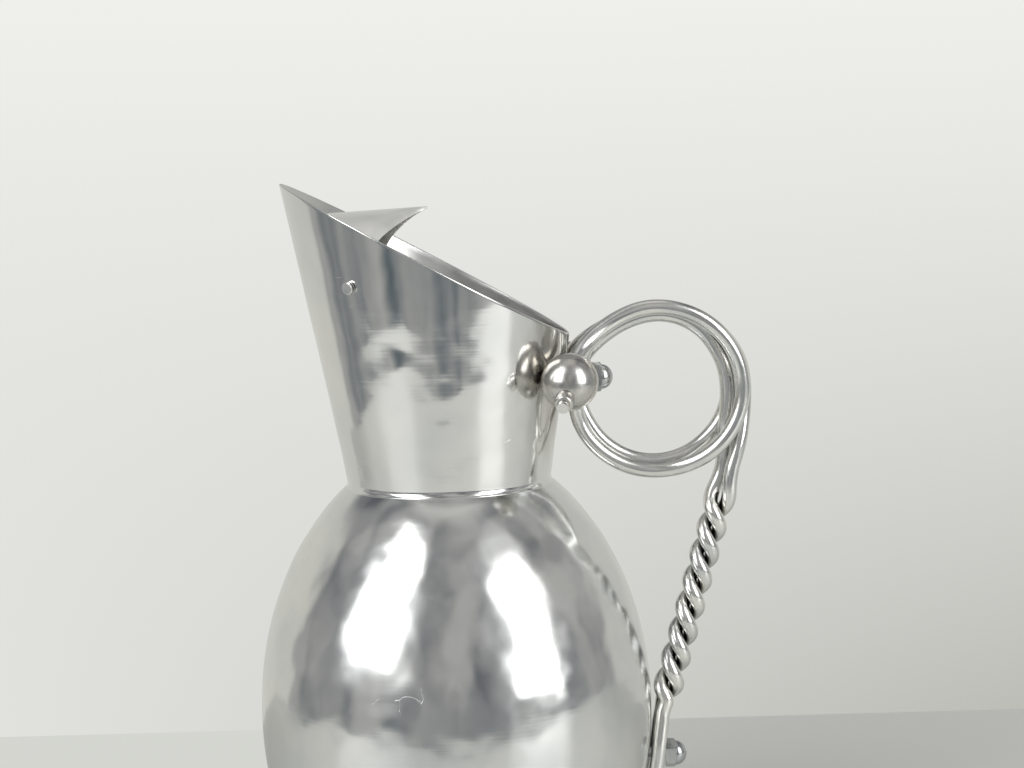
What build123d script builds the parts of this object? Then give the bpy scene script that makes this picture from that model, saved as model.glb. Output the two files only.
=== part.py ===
from build123d import *
from math import acos, asin, cos, degrees, pi, radians, sin, sqrt, tan
import os

os.makedirs("parts", exist_ok=True)

# Egg-shaped body, raised from sheet, with a flat base to stand on
body_radius = 84.0
body_half_height = 114.1
base_radius = 47.0
body_wall = 1.5
base_corner_radius = 4.0

# Conical neck, welded on the body and cut on a slant that rises to the spout
neck_foot_radius = 43.1
neck_flare_deg = 10.05
neck_lean_deg = 0.62
neck_wall = 1.2
neck_lip = 2.4
rim_height = 283.5
rim_slope_deg = 28.87

# Rod that the handle is wound from
rod_diameter = 6.35
rod_gap = 0.3

# Ring of the handle, behind the neck
ring_stand_off = 4.73
ring_centre_z = 229.5
ring_radius = 33.2
ring_lean_deg = 30.5

# Twist of the handle, from its foot up to where the ring begins
twist_foot_x = 89.9
twist_foot_z = 95.5
twist_top_x = 114.4
twist_top_z = 179.6
twist_turns = 3.75
rise_turn_deg = 58.0
tail_end_z = 48.0

# Balls on the two rod ends, beside the neck, each of two hollow halves
ball_diameter = 23.4
ball_wall = 1.6
ball_joint_gap = 0.2
ball_before_ring = 36.7
ball_z = 236.4
ball_axis_down_deg = 30.0
ball_axis_turn_deg = 13.0
ball_neck_clearance = 0.3
rod_stud_diameter = 5.0
stud_end_length = 2.2
ball_nut_diameter = 7.8
ball_nut_height = 4.6

# Bolts that hold the handle to the neck and to the body
bolt_diameter = 5.0
bolt_clearance = 0.3
bolt_head_diameter = 10.0
bolt_head_height = 3.4
upper_bolt_z = 235.0
lower_bolt_z = 70.6
acorn_flats = 10.9
acorn_hex_height = 4.6
acorn_dome_height = 4.8
acorn_dome_diameter = 10.6
acorn_bore_depth = 7.2
seal_diameter = 14.0
seal_thickness = 1.6
washer_diameter = 12.0
washer_thickness = 1.0
nut_washer_diameter = 12.0
nut_washer_thickness = 1.4
saddle_diameter = 17.0

# Lid over the spout, a hood of thin sheet that swings on two rivets
lid_wall = 0.9
lid_tail_x = -5.7
lid_tail_lift = 31.8
lid_crest_slope_deg = 2.4
lid_side_gap = 6.14
lid_arch_rise = 27.0
lid_tail_half_width = 1.7
lid_tail_rise = 1.4
lid_taper_length = 24.0
lid_front_length = 35.0
lid_ear_radius = 5.9
lid_wall_clearance = 0.5

# Rivets that the lid swings on
hinge_x = -34.8
hinge_below_rim = 6.1
rivet_diameter = 3.2
rivet_clearance = 0.06
rivet_head_diameter = 5.0
rivet_head_height = 0.9
rivet_neck_height = 0.3
rivet_tail_diameter = 6.0
rivet_tail_height = 1.2
rivet_washer_diameter = 5.4
rivet_washer_thickness = 0.6
hinge_spacer_diameter = 6.4
hinge_play = 0.25

# Small gaps between fixed pieces that touch, on flat and on curved faces
contact_gap = 0.05
curved_gap = 0.3

# Places that follow from the sizes above
body_centre_z = body_half_height * sqrt(1 - (base_radius / body_radius) ** 2)
seam_z = body_centre_z + body_half_height * sqrt(1 - (neck_foot_radius / body_radius) ** 2)
neck_flare = tan(radians(neck_flare_deg))
neck_lean = radians(neck_lean_deg)
neck_length = rim_height - seam_z + (body_radius + neck_foot_radius) * tan(radians(rim_slope_deg))
neck_foot = Vector(0, 0, seam_z)
neck_x_dir = Vector(cos(neck_lean), 0, sin(neck_lean))
neck_axis_dir = Vector(-sin(neck_lean), 0, cos(neck_lean))
neck_section_plane = Plane(origin=neck_foot, x_dir=neck_x_dir, z_dir=(0, -1, 0))
rim_plane = Plane(
    origin=(0, 0, rim_height),
    z_dir=(sin(radians(rim_slope_deg)), 0, cos(radians(rim_slope_deg))),
)
hinge_z = rim_height - hinge_below_rim
rod_radius = rod_diameter / 2
pair_offset = rod_radius + rod_gap / 2
bolt_side_offset = rod_radius + bolt_diameter / 2 + bolt_clearance
sides = {"near": -1, "far": 1}


def body_surface_radius(z):
    """Outer radius of the body at a height."""
    return body_radius * sqrt(1 - ((z - body_centre_z) / body_half_height) ** 2)


def body_surface_slope(z):
    """How fast the body's outer radius grows with height."""
    share = (z - body_centre_z) / body_half_height
    return -body_radius / body_half_height * share / sqrt(1 - share**2)


def neck_side(x, z, inset=0.0):
    """Half width of the neck's outer cone, or one inset from it, at a point of its middle plane."""
    from_foot = Vector(x, 0, z) - neck_foot
    radius = neck_foot_radius + neck_flare * from_foot.dot(neck_axis_dir) - inset
    return sqrt(radius**2 - from_foot.dot(neck_x_dir) ** 2)


def neck_normal(x, side, z):
    """Outward normal of the neck's cone at a point of its surface on one side."""
    from_foot = Vector(x, 0, z) - neck_foot
    across = neck_x_dir * from_foot.dot(neck_x_dir) + Vector(0, side * neck_side(x, z), 0)
    return (across.normalized() - neck_axis_dir * neck_flare).normalized()


def ease(share):
    """Smooth step from 0 to 1."""
    share = min(1.0, max(0.0, share))
    return share * share * (3 - 2 * share)


# Where the ring and the balls stand against the neck, and how wide the lid can be inside it
upper_wall_x = neck_foot_radius + (neck_flare - neck_lean) * (upper_bolt_z - seam_z)
ring_centre_x = upper_wall_x + ring_stand_off + ring_radius
ball_x = ring_centre_x - ball_before_ring
rivet_side = neck_side(hinge_x, hinge_z)
lid_half_width = rivet_side - neck_wall - lid_side_gap
lid_tail_z = hinge_z + lid_tail_lift


def egg_solid(radius, half_height, low_z, mouth_radius):
    """Solid of revolution of an upright ellipse, from a flat foot to a flat top."""
    foot_angle = degrees(asin((low_z - body_centre_z) / half_height))
    top_angle = degrees(acos(mouth_radius / radius))
    with BuildPart() as egg:
        with BuildSketch(Plane.XZ):
            with BuildLine():
                flank = EllipticalCenterArc(
                    (0, body_centre_z), radius, half_height,
                    start_angle=foot_angle, arc_size=top_angle - foot_angle,
                )
                Polyline(flank @ 1, (0, (flank @ 1).Y), (0, (flank @ 0).Y), flank @ 0)
            make_face()
        revolve(axis=Axis.Z)
    return egg.part


def neck_solid(inset):
    """Solid cone inside the neck's outer surface, less an inset, from below the seam up."""
    low, high = -neck_foot_radius / 4, neck_length
    with BuildPart() as cone:
        with BuildSketch(neck_section_plane):
            with BuildLine():
                Polyline(
                    (0, low),
                    (neck_foot_radius + neck_flare * low - inset, low),
                    (neck_foot_radius + neck_flare * high - inset, high),
                    (0, high),
                    close=True,
                )
            make_face()
        revolve(axis=Axis(neck_foot, neck_axis_dir))
    return cone.part


# Body, hollowed to its wall and open under the neck
body_mouth_radius = neck_foot_radius - neck_lip
body_outside = egg_solid(body_radius, body_half_height, 0, body_mouth_radius)
body_inside = egg_solid(
    body_radius - body_wall, body_half_height - body_wall, body_wall, body_mouth_radius
)
with BuildPart() as body:
    add(body_outside)
    fillet(body.edges().filter_by(GeomType.CIRCLE).sort_by(Axis.Z)[0], base_corner_radius)
    add(body_inside, mode=Mode.SUBTRACT)
    with BuildSketch(Plane.XY.offset(body_centre_z)):
        Circle(body_mouth_radius)
    extrude(amount=body_half_height, mode=Mode.SUBTRACT)
    with BuildSketch(Plane.YZ.offset(body_surface_radius(lower_bolt_z) - seal_diameter)):
        with Locations((0, lower_bolt_z)):
            Circle(bolt_diameter / 2 + bolt_clearance)
    extrude(amount=2 * seal_diameter, mode=Mode.SUBTRACT)
body.part.label = "body_shell"
export_step(body.part, "parts/body_shell.step")

# Neck, a cone of sheet whose foot is fitted to the body and whose rim is cut on the slant
neck_outside = neck_solid(0)
neck_inside = neck_solid(neck_wall)
with BuildPart() as neck:
    add(neck_outside)
    split(bisect_by=rim_plane, keep=Keep.BOTTOM)
    add(neck_inside, mode=Mode.SUBTRACT)
    add(
        egg_solid(body_radius + contact_gap, body_half_height + contact_gap, 0, body_wall),
        mode=Mode.SUBTRACT,
    )
    with BuildSketch(Plane.XZ.offset(-body_radius)):
        with Locations((hinge_x, hinge_z)):
            Circle(rivet_diameter / 2 + contact_gap)
    extrude(amount=2 * body_radius, mode=Mode.SUBTRACT)
    with BuildSketch(Plane.YZ):
        with Locations((0, upper_bolt_z)):
            Circle(bolt_diameter / 2 + bolt_clearance)
    extrude(amount=body_radius, mode=Mode.SUBTRACT)
neck.part.label = "neck_collar"
export_step(neck.part, "parts/neck_collar.step")


def lid_section(distance):
    """Face of the lid's sheet across the spout, at a distance forward of the tail."""
    taper = ease(distance / lid_taper_length)
    half_width = lid_tail_half_width + (lid_half_width - lid_tail_half_width) * taper
    rise = lid_tail_rise + (lid_arch_rise - lid_tail_rise) * taper
    crest = lid_tail_z - distance * tan(radians(lid_crest_slope_deg))
    skirt_z = crest - rise - 2.5 * lid_ear_radius
    inner_width = half_width - lid_wall
    with BuildSketch(Plane.YZ.offset(lid_tail_x - distance)) as section:
        with BuildLine():
            over = EllipticalCenterArc((0, crest - rise), half_width, rise, 0, arc_size=180)
            under = EllipticalCenterArc(
                (0, crest - rise), inner_width, rise - lid_wall, 0, arc_size=180
            )
            Polyline(over @ 0, (half_width, skirt_z), (inner_width, skirt_z), under @ 0)
            Polyline(over @ 1, (-half_width, skirt_z), (-inner_width, skirt_z), under @ 1)
        make_face()
    return section.sketch.face()


# Lid: a tapering arch of sheet, trimmed to the neck in front and to a swept tail behind
lid_ear_back = Vector(hinge_x + lid_ear_radius, hinge_z)
lid_ear_front = Vector(hinge_x - lid_ear_radius, hinge_z)
lid_front_x = lid_tail_x - lid_taper_length - lid_front_length
tail_stations = 9
with BuildPart() as lid:
    loft([lid_section(lid_taper_length * k / (tail_stations - 1)) for k in range(tail_stations)])
    loft(
        [lid_section(lid_taper_length), lid_section(lid_taper_length + lid_front_length)],
        ruled=True,
    )
    with BuildSketch(Plane.XZ.offset(-body_radius)):
        with BuildLine():
            Spline(
                (lid_tail_x, lid_tail_z - lid_wall),
                (lid_tail_x - 9.3, lid_tail_z - 5.9),
                (lid_tail_x - 18.0, lid_tail_z - 13.2),
                lid_ear_back,
                tangents=[(-1.0, -0.42), (0, -1)],
            )
            ThreePointArc(
                lid_ear_back, (hinge_x, hinge_z - lid_ear_radius), lid_ear_front
            )
            Polyline(
                lid_ear_front,
                (lid_front_x, hinge_z),
                (lid_front_x, lid_tail_z + lid_ear_radius),
                (lid_tail_x, lid_tail_z + lid_ear_radius),
                (lid_tail_x, lid_tail_z - lid_wall),
            )
        make_face()
    extrude(amount=2 * body_radius, mode=Mode.INTERSECT)
    add(neck_solid(neck_wall + lid_wall_clearance), mode=Mode.INTERSECT)
    with BuildSketch(Plane.XZ.offset(-body_radius)):
        with Locations((hinge_x, hinge_z)):
            Circle(rivet_diameter / 2 + rivet_clearance)
    extrude(amount=2 * body_radius, mode=Mode.SUBTRACT)
lid.part.label = "spout_lid"
export_step(lid.part, "parts/spout_lid.step")

# Rivets of the lid: the shank lies across the neck, the head lies square to the sloping wall
rivet_tail_start = lid_half_width - lid_wall - hinge_play - rivet_tail_height
rivet_seats = {}
for name, side in sides.items():
    outward = neck_normal(hinge_x, side, hinge_z)
    rivet_seats[name] = Plane(origin=(hinge_x, side * rivet_side, hinge_z), z_dir=outward)
    across = Plane(origin=(hinge_x, 0, hinge_z), z_dir=(0, side, 0))
    head_level = contact_gap + rivet_washer_thickness + contact_gap
    with BuildPart() as rivet:
        with BuildSketch(across.offset(rivet_tail_start)):
            Circle(rivet_tail_diameter / 2)
        extrude(amount=rivet_tail_height)
        with BuildSketch(across.offset(rivet_tail_start)):
            Circle(rivet_diameter / 2)
        extrude(amount=rivet_side - rivet_tail_start + rivet_washer_thickness)
        with BuildSketch(rivet_seats[name].offset(head_level)):
            Circle(rivet_diameter / 2)
        extrude(amount=rivet_neck_height + rivet_head_height)
        with BuildSketch(rivet_seats[name].offset(head_level + rivet_neck_height)):
            Circle(rivet_head_diameter / 2)
        extrude(amount=rivet_head_height)
        fillet(rivet.faces().sort_by(Axis(neck_foot, outward))[-1].edges(), rivet_head_height / 3)
    rivet.part.label = "hinge_rivet_" + name
    export_step(rivet.part, "parts/hinge_rivet_" + name + ".step")

# Washers under the rivet heads, bored along the slanting shank
with BuildPart() as rivet_washers:
    for name, side in sides.items():
        with BuildSketch(rivet_seats[name].offset(contact_gap)):
            Circle(rivet_washer_diameter / 2)
        extrude(amount=rivet_washer_thickness)
    with BuildSketch(Plane.XZ.offset(-body_radius)):
        with Locations((hinge_x, hinge_z)):
            Circle(rivet_diameter / 2 + contact_gap)
    extrude(amount=2 * body_radius, mode=Mode.SUBTRACT)
    with BuildSketch(rivet_seats["near"]):
        Circle(rivet_diameter / 2 + contact_gap)
    extrude(amount=2 * rivet_washer_thickness, mode=Mode.SUBTRACT)
    with BuildSketch(rivet_seats["far"]):
        Circle(rivet_diameter / 2 + contact_gap)
    extrude(amount=2 * rivet_washer_thickness, mode=Mode.SUBTRACT)
rivet_washers.part.label = "hinge_washers"
export_step(rivet_washers.part, "parts/hinge_washers.step")

# Spacer sleeves between the lid's ears and the neck's wall
with BuildPart() as spacers:
    for side in sides.values():
        start = lid_half_width + hinge_play
        with BuildSketch(Plane(origin=(hinge_x, side * start, hinge_z), z_dir=(0, side, 0))):
            Circle(hinge_spacer_diameter / 2)
            Circle(rivet_diameter / 2 + contact_gap, mode=Mode.SUBTRACT)
        extrude(amount=rivet_side)
    add(neck_solid(neck_wall + contact_gap), mode=Mode.INTERSECT)
spacers.part.label = "hinge_spacers"
export_step(spacers.part, "parts/hinge_spacers.step")


def tangent_arcs(points, last_heading):
    """Wire through points as pairs of arcs without a corner, straight between the last two."""
    course = Spline(*points, mode=Mode.PRIVATE)
    headings = [course.tangent_at(point) for point in points[:-2]] + [last_heading] * 2
    runs = []
    here = points[0]
    heading = headings[0]
    for there, next_heading in zip(points[1:], headings[1:]):
        gap = there - here
        along = gap.dot(heading + next_heading)
        bend = 2 * (1 - heading.dot(next_heading))
        reach = gap.dot(gap) / (along + sqrt(along**2 + bend * gap.dot(gap)))
        first_corner = here + heading * reach
        second_corner = there - next_heading * reach
        join = (first_corner + second_corner) / 2
        for start, direction, end in ((here, heading, join), (join, second_corner - join, there)):
            if direction.get_angle(end - start) < 0.01:
                runs.append(Edge.make_line(start, end))
            else:
                runs.append(Edge.make_tangent_arc(start, direction, end))
        here = there
        heading = next_heading
    return Wire(runs)


def hermite(start, start_pull, end, end_pull, share):
    """Point on the smooth curve between two points with the given pulls at its ends."""
    a, b = share**2, share**3
    return (
        start * (2 * b - 3 * a + 1)
        + start_pull * (b - 2 * a + share)
        + end * (3 * a - 2 * b)
        + end_pull * (b - a)
    )


# Seats of the two balls: each stands just clear of the neck, and its rod runs down and outward
ball_radius = ball_diameter / 2
ball_down, ball_turn = radians(ball_axis_down_deg), radians(ball_axis_turn_deg)
ball_stand_off = (ball_radius + ball_neck_clearance) / cos(radians(neck_flare_deg))
ball_side = neck_side(ball_x, ball_z, -ball_stand_off)
ball_seats = {}
for name, side in sides.items():
    ball_axis = Vector(
        -cos(ball_down) * sin(ball_turn), side * cos(ball_down) * cos(ball_turn), -sin(ball_down)
    )
    ball_seats[name] = Plane(origin=(ball_x, side * ball_side, ball_z), z_dir=ball_axis)


def body_rest_x(z, y):
    """Where the middle of a rod lies when it rests against the body beside the middle plane."""
    stand_off = (rod_radius + 2 * rod_gap) * sqrt(1 + body_surface_slope(z) ** 2)
    return sqrt((body_surface_radius(z) + stand_off) ** 2 - y**2)


def push_off_body(*points):
    """How far rods at these points have to move out along X to lie clear of the body."""
    return Vector(max(0, *(body_rest_x(point.Z, point.Y) - point.X for point in points)), 0, 0)


def strand_route(name):
    """Middle line of one rod of the handle, from its lower end up to the middle of its ball."""
    side = sides[name]
    lead = -side
    toward_viewer = Vector(0, -1, 0)
    points = []

    # Tail against the body, below the lower bolt
    tail_steps = 4
    for k in range(tail_steps):
        z = tail_end_z + (lower_bolt_z - tail_end_z) * k / tail_steps
        y = bolt_side_offset + (lower_bolt_z - z) / 16
        points.append(Vector(body_rest_x(z, y), side * y, z))

    # From the lower bolt up to the foot of the twist, side by side and closing in
    bolt_point = Vector(body_rest_x(lower_bolt_z, bolt_side_offset), 0, lower_bolt_z)
    foot = Vector(twist_foot_x, 0, twist_foot_z)
    twist = Vector(twist_top_x, 0, twist_top_z) - foot
    twist_dir = twist.normalized()
    outward = Vector(twist_dir.Z, 0, -twist_dir.X)
    reach = (foot - bolt_point).length
    leave_bolt = Vector(body_surface_slope(lower_bolt_z), 0, 1).normalized() * reach
    foot_phase = -2 * pi * twist_turns
    lead_steps = 5
    for k in range(lead_steps):
        share = k / lead_steps
        centre = hermite(bolt_point, leave_bolt, foot, twist_dir * reach, share)
        spread = bolt_side_offset + (pair_offset - bolt_side_offset) * ease(share)
        offset = (outward * cos(foot_phase) + toward_viewer * sin(foot_phase)) * spread * lead
        points.append(centre + offset + push_off_body(centre + offset, centre - offset))

    # The twist itself, left-handed, a little more open at both ends
    end_opening = 0.6 * rod_gap
    twist_steps = round(8 * twist_turns)
    for k in range(twist_steps + 1):
        share = k / twist_steps
        phase = foot_phase * (1 - share)
        spread = pair_offset + end_opening * (ease(1 - 8 * share) + ease(8 * share - 7))
        offset = (outward * cos(phase) + toward_viewer * sin(phase)) * spread * lead
        points.append(foot + twist * share + offset)

    # From the twist to the outer side of the ring, the outer rod bowed a little to its own side
    entry_radius = ring_radius + rod_radius * 0.4
    top = foot + twist
    ring_right = Vector(ring_centre_x + entry_radius, 0, ring_centre_z)
    reach = (ring_right - top).length
    rise_phase = radians(rise_turn_deg)
    rise_steps = 4
    for k in range(1, rise_steps):
        share = k / rise_steps
        centre = hermite(top, twist_dir * reach, ring_right, Vector(0, 0, reach), share)
        across = (outward * (1 - share) + Vector(share, 0, 0)).normalized()
        phase = rise_phase * ease(1.4 - 0.4 * k)
        offset = (across * cos(phase) + toward_viewer * sin(phase)) * lead
        points.append(centre + offset * (pair_offset + end_opening))

    # First round of the ring: the pair turns nearly side by side and spreads round the upper bolt
    ring_phase = pi / 2 - radians(ring_lean_deg)
    bolt_angle = 180 - degrees(asin((upper_bolt_z - ring_centre_z) / ring_radius))
    ring_step = 15
    for angle in range(0, 271, ring_step):
        pair_radius = ring_radius + (entry_radius - ring_radius) * (1 - ease(angle / 70))
        pair_radius -= 1.2 * sin(pi * min(1, max(0, (angle - 70) / 95))) ** 2
        phase = ring_phase * ease(angle / 60)
        spread = pair_offset + end_opening * (1 - ease(angle / 45))
        if abs(angle - bolt_angle) < 50:
            share = cos(radians((angle - bolt_angle) * 1.8)) ** 2
            spread += (bolt_side_offset - pair_offset) * share
            phase += (pi / 2 - phase) * share
        radius = pair_radius + spread * cos(phase) * lead
        at = radians(angle)
        points.append(
            Vector(
                ring_centre_x + radius * cos(at),
                side * spread * sin(phase),
                ring_centre_z + radius * sin(at),
            )
        )

    # Second round, outside the first one on its own side
    bulge = 0.55 * rod_radius if side < 0 else 0.25 * rod_radius
    for angle in range(270 + ring_step, 451, ring_step):
        radius = ring_radius + lead * pair_offset * cos(ring_phase)
        radius += bulge * sin(radians(angle - 270)) ** 2
        spread = pair_offset * (
            sin(ring_phase) + 1.28 * ease((angle - 270) / 52) + 1.02 * ease((angle - 350) / 65)
        )
        at = radians(angle)
        points.append(
            Vector(
                ring_centre_x + radius * cos(at),
                side * spread,
                ring_centre_z + radius * sin(at),
            )
        )

    # Arm that swings out round the neck to the ball
    seat = ball_seats[name]
    arm_start = points[-1]
    arm_end = seat.origin - seat.z_dir * ball_radius * 1.2
    arm_pull = 1.05 * (arm_end - arm_start).length
    arm_steps = 7
    for k in range(1, arm_steps):
        points.append(
            hermite(
                arm_start, Vector(-1, side * 0.05, 0) * arm_pull,
                arm_end, seat.z_dir * arm_pull, k / arm_steps,
            )
        )
    points.append(arm_end)
    points.append(seat.origin)
    return points


# Strands of the handle, each one rod from its lower end to the stud beyond its ball
ball_nut_level = sqrt(ball_radius**2 - (ball_nut_diameter / 2) ** 2) + curved_gap
stud_length = ball_nut_level + ball_nut_height + stud_end_length
for name, seat in ball_seats.items():
    route = tangent_arcs(strand_route(name), seat.z_dir)
    with BuildPart() as strand:
        with BuildSketch(Plane(origin=route @ 0, z_dir=route % 0)):
            Circle(rod_radius)
        sweep(path=route)
        with BuildSketch(seat.offset(-rod_radius)):
            Circle(rod_stud_diameter / 2)
        extrude(amount=rod_radius + stud_length)
    strand.part.label = "handle_strand_" + name
    export_step(strand.part, "parts/handle_strand_" + name + ".step")

# Halves of the balls, hollow, bored for the rod above and for its stud below
for name, seat in ball_seats.items():
    for half, lift, bore in (("upper", -1, rod_radius), ("lower", 1, rod_stud_diameter / 2)):
        with BuildPart() as shell:
            Sphere(ball_radius)
            Sphere(ball_radius - ball_wall, mode=Mode.SUBTRACT)
            with BuildSketch(Plane.XY.offset(-ball_diameter)):
                Circle(bore + curved_gap)
            extrude(amount=2 * ball_diameter, mode=Mode.SUBTRACT)
            split(
                bisect_by=Plane.XY.offset(lift * ball_joint_gap / 2),
                keep=Keep.TOP if lift > 0 else Keep.BOTTOM,
            )
        placed = seat.location * shell.part
        placed.label = "ball_" + name + "_" + half
        export_step(placed, "parts/ball_" + name + "_" + half + ".step")

# Round nuts on the studs under the balls
with BuildPart() as ball_nuts:
    for seat in ball_seats.values():
        with BuildSketch(seat.offset(ball_nut_level)):
            Circle(ball_nut_diameter / 2)
            Circle(rod_stud_diameter / 2 + contact_gap, mode=Mode.SUBTRACT)
        extrude(amount=ball_nut_height)
    rims = ball_nuts.edges().filter_by(GeomType.CIRCLE).sort_by(lambda edge: edge.radius)
    fillet(rims[-4:], ball_nut_height / 4)
    with Locations(*(seat.location for seat in ball_seats.values())):
        Sphere(ball_radius + curved_gap, mode=Mode.SUBTRACT)
ball_nuts.part.label = "ball_nuts"
export_step(ball_nuts.part, "parts/ball_nuts.step")

# Where the bolted stacks lie, along the bolts, from the inside of the wall outward
upper_strand_x = upper_wall_x + ring_stand_off
lower_wall_x = body_surface_radius(lower_bolt_z)
lower_strand_x = body_rest_x(lower_bolt_z, bolt_side_offset)
washer_reach = upper_bolt_z - ring_centre_z + nut_washer_diameter / 4
strand_bend = ring_radius - sqrt(ring_radius**2 - washer_reach**2)
nut_washer_x = upper_strand_x + rod_radius + strand_bend + 2 * curved_gap
upper_nut_x = nut_washer_x + nut_washer_thickness + contact_gap
lower_nut_x = lower_strand_x + rod_radius + curved_gap
stacks = {
    "upper": (upper_bolt_z, upper_wall_x - neck_wall, upper_nut_x),
    "lower": (lower_bolt_z, lower_wall_x - body_wall, lower_nut_x),
}
# The sloping wall leans over a flat washer by this much at the washer's edge
wall_lean_over = {
    "upper": neck_flare * seal_diameter / 2 + seal_diameter**2 / 8 / upper_wall_x,
    "lower": abs(body_surface_slope(lower_bolt_z)) * seal_diameter / 2
    + seal_diameter**2 / 8 / lower_wall_x,
}
inner_walls = {
    "upper": neck_solid(neck_wall + curved_gap),
    "lower": egg_solid(
        body_radius - body_wall - curved_gap,
        body_half_height - body_wall - curved_gap,
        body_wall + curved_gap,
        body_mouth_radius,
    ),
}
for name, (height, inner_x, nut_face) in stacks.items():
    lean_over = wall_lean_over[name]

    # Sealing washer pressed to the shape of the wall
    seal_face = inner_x - lean_over - seal_thickness
    with BuildPart() as seal:
        with BuildSketch(Plane.YZ.offset(seal_face)):
            with Locations((0, height)):
                Circle(seal_diameter / 2)
                Circle(bolt_diameter / 2 + contact_gap, mode=Mode.SUBTRACT)
        extrude(amount=seal_thickness + 2 * lean_over)
        add(inner_walls[name], mode=Mode.INTERSECT)
    seal.part.label = name + "_seal"
    export_step(seal.part, "parts/" + name + "_seal.step")

    # Flat washer behind the seal
    with BuildPart() as washer:
        with BuildSketch(Plane.YZ.offset(seal_face - contact_gap)):
            with Locations((0, height)):
                Circle(washer_diameter / 2)
                Circle(bolt_diameter / 2 + contact_gap, mode=Mode.SUBTRACT)
        extrude(amount=-washer_thickness)
    washer.part.label = name + "_washer"
    export_step(washer.part, "parts/" + name + "_washer.step")

    # Bolt, its round head inside and its shank out between the two strands
    head_face = seal_face - washer_thickness - 2 * contact_gap
    with BuildPart() as bolt:
        with BuildSketch(Plane.YZ.offset(head_face)):
            with Locations((0, height)):
                Circle(bolt_head_diameter / 2)
        extrude(amount=-bolt_head_height)
        fillet(bolt.faces().sort_by(Axis.X)[0].edges(), bolt_head_height / 2)
        with BuildSketch(Plane.YZ.offset(head_face)):
            with Locations((0, height)):
                Circle(bolt_diameter / 2)
        extrude(amount=nut_face + acorn_bore_depth - contact_gap - head_face)
    bolt.part.label = name + "_bolt"
    export_step(bolt.part, "parts/" + name + "_bolt.step")

    # Acorn nut, a hexagon with a dome and a blind bore
    bore_radius = bolt_diameter / 2 + contact_gap
    dome_start = nut_face + acorn_hex_height
    dome_radius = acorn_dome_diameter / 2
    bore_end = nut_face + acorn_bore_depth
    with BuildPart() as acorn:
        with BuildSketch(Plane.XZ):
            with BuildLine():
                dome = EllipticalCenterArc(
                    (dome_start, height), acorn_dome_height, dome_radius, 0, arc_size=90
                )
                Polyline(
                    dome @ 1,
                    (dome_start, height + acorn_flats),
                    (nut_face, height + acorn_flats),
                    (nut_face, height + bore_radius),
                    (bore_end, height + bore_radius),
                    (bore_end, height),
                    dome @ 0,
                )
            make_face()
        revolve(axis=Axis((0, 0, height), (1, 0, 0)))
        with BuildSketch(Plane.YZ.offset(nut_face)):
            with Locations((0, height)):
                RegularPolygon(acorn_flats / 2, 6, major_radius=False, rotation=30)
        extrude(amount=acorn_hex_height + acorn_dome_height, mode=Mode.INTERSECT)
    acorn.part.label = name + "_acorn_nut"
    export_step(acorn.part, "parts/" + name + "_acorn_nut.step")

# Washer between the two strands of the ring and the upper acorn nut
with BuildPart() as nut_washer:
    with BuildSketch(Plane.YZ.offset(nut_washer_x)):
        with Locations((0, upper_bolt_z)):
            Circle(nut_washer_diameter / 2)
            Circle(bolt_diameter / 2 + contact_gap, mode=Mode.SUBTRACT)
    extrude(amount=nut_washer_thickness)
nut_washer.part.label = "upper_nut_washer"
export_step(nut_washer.part, "parts/upper_nut_washer.step")

# Saddle that fills the space between the neck's curved wall and the ring
saddle_face_x = upper_strand_x - rod_radius - curved_gap
with BuildPart() as saddle:
    with BuildSketch(Plane.YZ.offset(saddle_face_x)):
        with Locations((0, upper_bolt_z)):
            Circle(saddle_diameter / 2)
            Circle(bolt_diameter / 2 + contact_gap, mode=Mode.SUBTRACT)
    extrude(amount=-saddle_diameter / 2)
    add(neck_solid(-contact_gap), mode=Mode.SUBTRACT)
saddle.part.label = "upper_saddle"
export_step(saddle.part, "parts/upper_saddle.step")
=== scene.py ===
import bpy
from math import asin, atan2, cos, pi, radians, sin, sqrt, tan
from mathutils import Matrix, Vector, noise


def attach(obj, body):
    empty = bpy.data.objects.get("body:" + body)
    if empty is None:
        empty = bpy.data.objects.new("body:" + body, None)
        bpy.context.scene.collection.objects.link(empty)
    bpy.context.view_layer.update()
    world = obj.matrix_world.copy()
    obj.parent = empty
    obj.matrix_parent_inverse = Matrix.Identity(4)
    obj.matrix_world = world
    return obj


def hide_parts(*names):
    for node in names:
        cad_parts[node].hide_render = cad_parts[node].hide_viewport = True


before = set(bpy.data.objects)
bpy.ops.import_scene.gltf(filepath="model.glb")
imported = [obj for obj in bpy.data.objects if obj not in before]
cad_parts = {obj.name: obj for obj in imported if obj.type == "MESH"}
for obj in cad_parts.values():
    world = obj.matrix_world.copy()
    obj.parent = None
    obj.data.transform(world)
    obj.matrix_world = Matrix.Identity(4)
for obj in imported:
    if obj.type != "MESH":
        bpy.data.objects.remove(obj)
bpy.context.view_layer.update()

# Body: an egg-shaped shell of aluminium sheet, raised with a hammer and then polished, so that
# shallow dents are left all over its outside. It is open under the neck and stands on a flat
# underside with a rounded edge.


def add_node(tree, kind, inputs=(), **settings):
    """Adds a node; inputs give a value, or another node's output, by the socket's name or number."""
    node = tree.nodes.new(kind)
    for key, value in settings.items():
        setattr(node, key, value)
    for key, value in dict(inputs).items():
        if isinstance(value, bpy.types.NodeSocket):
            tree.links.new(value, node.inputs[key])
        else:
            node.inputs[key].default_value = value
    return node


def calculate(tree, operation, *values):
    """Adds a math node on numbers or sockets and gives its output."""
    return add_node(tree, "ShaderNodeMath", enumerate(values), operation=operation).outputs[0]


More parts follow.
